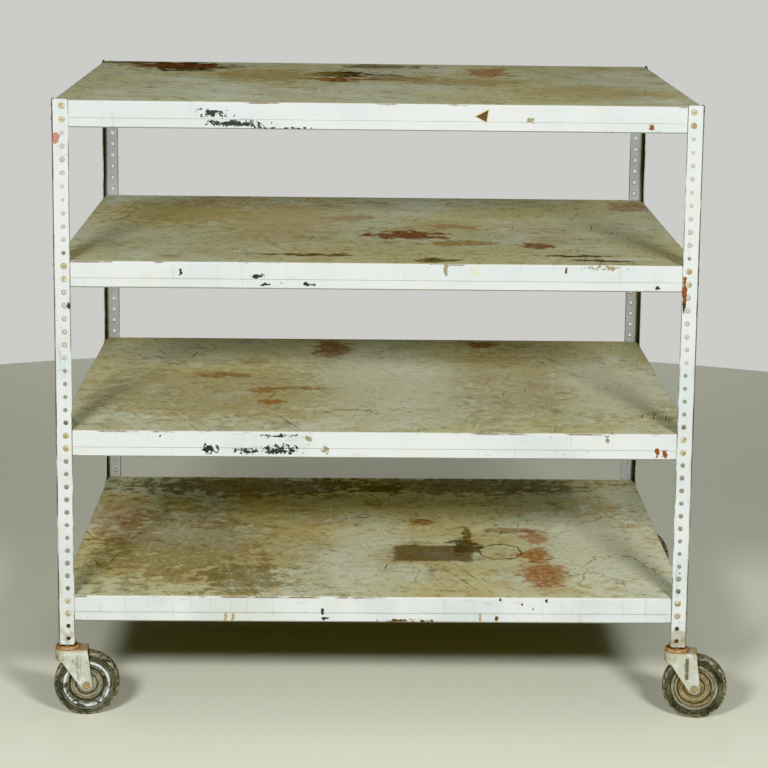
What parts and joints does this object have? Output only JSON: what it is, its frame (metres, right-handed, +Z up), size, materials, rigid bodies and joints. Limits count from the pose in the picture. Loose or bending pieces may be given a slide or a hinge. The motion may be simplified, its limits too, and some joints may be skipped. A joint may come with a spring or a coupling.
{
  "type": "book cart",
  "caption": "Steel book cart: flat folded-sheet shelves bolted between perforated angle posts, on swivel casters with solid rubber wheels.",
  "frame": {"origin": "on the floor, in the middle of the whole footprint, casters included", "axes": "+X to the cart's right along its long side, the way all casters trail; +Y to the back; +Z up"},
  "size_m": [1.3254, 0.9586, 1.2118],
  "materials": {
    "painted_post": "aged off-white paint over steel, chipped",
    "painted_shelf": "worn grey-green paint, stained tan and rust on top, off-white lips",
    "painted_band": "aged off-white paint, chipped along its lower edge",
    "painted_channel": "dull aged paint with surface rust",
    "aged_bolt": "dull, painted over and rusty",
    "aged_nut": "dull, rusty",
    "rusty_socket": "rusty bare steel",
    "rusty_race": "rusty orange-tan steel",
    "plated_pin": "dull plated steel",
    "ball_steel": "polished bearing steel",
    "painted_fork": "aged off-white paint, worn brown on its rib",
    "wheel_core": "dusty dark moulding",
    "black_tyre": "dusty worn black rubber"
  },
  "bodies": {
    "frame": {"front_left_post": "painted_post", "front_right_post": "painted_post", "rear_left_post": "painted_post", "rear_right_post": "painted_post", "top_shelf_pan": "painted_shelf", "top_shelf_lip_bands": "painted_band", "top_shelf_channel": "painted_channel", "top_shelf_bolts": "aged_bolt", "top_shelf_nuts": "aged_nut", "second_shelf_pan": "painted_shelf", "second_shelf_lip_bands": "painted_band", "second_shelf_channel": "painted_channel", "second_shelf_bolts": "aged_bolt", "second_shelf_nuts": "aged_nut", "third_shelf_pan": "painted_shelf", "third_shelf_lip_bands": "painted_band", "third_shelf_channel": "painted_channel", "third_shelf_bolts": "aged_bolt", "third_shelf_nuts": "aged_nut", "bottom_shelf_pan": "painted_shelf", "bottom_shelf_lip_bands": "painted_band", "bottom_shelf_channel": "painted_channel", "bottom_shelf_bolts": "aged_bolt", "bottom_shelf_nuts": "aged_nut", "front_left_stem_socket": "rusty_socket", "front_left_top_race": "rusty_race", "front_left_king_pin": "plated_pin", "front_right_stem_socket": "rusty_socket", "front_right_top_race": "rusty_race", "front_right_king_pin": "plated_pin", "rear_left_stem_socket": "rusty_socket", "rear_left_top_race": "rusty_race", "rear_left_king_pin": "plated_pin", "rear_right_stem_socket": "rusty_socket", "rear_right_top_race": "rusty_race", "rear_right_king_pin": "plated_pin"},
    "front_left_swivel": {"front_left_bearing_balls": "ball_steel", "front_left_fork": "painted_fork", "front_left_axle_bolt": "aged_bolt", "front_left_axle_nut": "aged_nut"},
    "front_left_wheel": {"front_left_wheel_core": "wheel_core", "front_left_tyre": "black_tyre"},
    "front_right_swivel": {"front_right_bearing_balls": "ball_steel", "front_right_fork": "painted_fork", "front_right_axle_bolt": "aged_bolt", "front_right_axle_nut": "aged_nut"},
    "front_right_wheel": {"front_right_wheel_core": "wheel_core", "front_right_tyre": "black_tyre"},
    "rear_left_swivel": {"rear_left_bearing_balls": "ball_steel", "rear_left_fork": "painted_fork", "rear_left_axle_bolt": "aged_bolt", "rear_left_axle_nut": "aged_nut"},
    "rear_left_wheel": {"rear_left_wheel_core": "wheel_core", "rear_left_tyre": "black_tyre"},
    "rear_right_swivel": {"rear_right_bearing_balls": "ball_steel", "rear_right_fork": "painted_fork", "rear_right_axle_bolt": "aged_bolt", "rear_right_axle_nut": "aged_nut"},
    "rear_right_wheel": {"rear_right_wheel_core": "wheel_core", "rear_right_tyre": "black_tyre"}
  },
  "joints": [
    {"name": "front_left_caster_swivel", "type": "hinge", "parent": "frame", "child": "front_left_swivel", "pos_m": [-0.63475, -0.4411, 0.14], "axis": [0, 0, 1], "continuous": true},
    {"name": "front_left_wheel_roll", "type": "hinge", "parent": "front_left_swivel", "child": "front_left_wheel", "pos_m": [-0.59834, -0.43855, 0.0635], "axis": [-0.0698, 0.9976, 0], "continuous": true},
    {"name": "front_right_caster_swivel", "type": "hinge", "parent": "frame", "child": "front_right_swivel", "pos_m": [0.56245, -0.4411, 0.14], "axis": [0, 0, 1], "continuous": true},
    {"name": "front_right_wheel_roll", "type": "hinge", "parent": "front_right_swivel", "child": "front_right_wheel", "pos_m": [0.59859, -0.44618, 0.0635], "axis": [0.1392, 0.9903, 0], "continuous": true},
    {"name": "rear_left_caster_swivel", "type": "hinge", "parent": "frame", "child": "rear_left_swivel", "pos_m": [-0.63475, 0.4411, 0.14], "axis": [0, 0, 1], "continuous": true},
    {"name": "rear_left_wheel_roll", "type": "hinge", "parent": "rear_left_swivel", "child": "rear_left_wheel", "pos_m": [-0.59861, 0.44618, 0.0635], "axis": [-0.1392, 0.9903, 0], "continuous": true},
    {"name": "rear_right_caster_swivel", "type": "hinge", "parent": "frame", "child": "rear_right_swivel", "pos_m": [0.56245, 0.4411, 0.14], "axis": [0, 0, 1], "continuous": true},
    {"name": "rear_right_wheel_roll", "type": "hinge", "parent": "rear_right_swivel", "child": "rear_right_wheel", "pos_m": [0.59886, 0.43855, 0.0635], "axis": [0.0698, 0.9976, 0], "continuous": true}
  ]
}
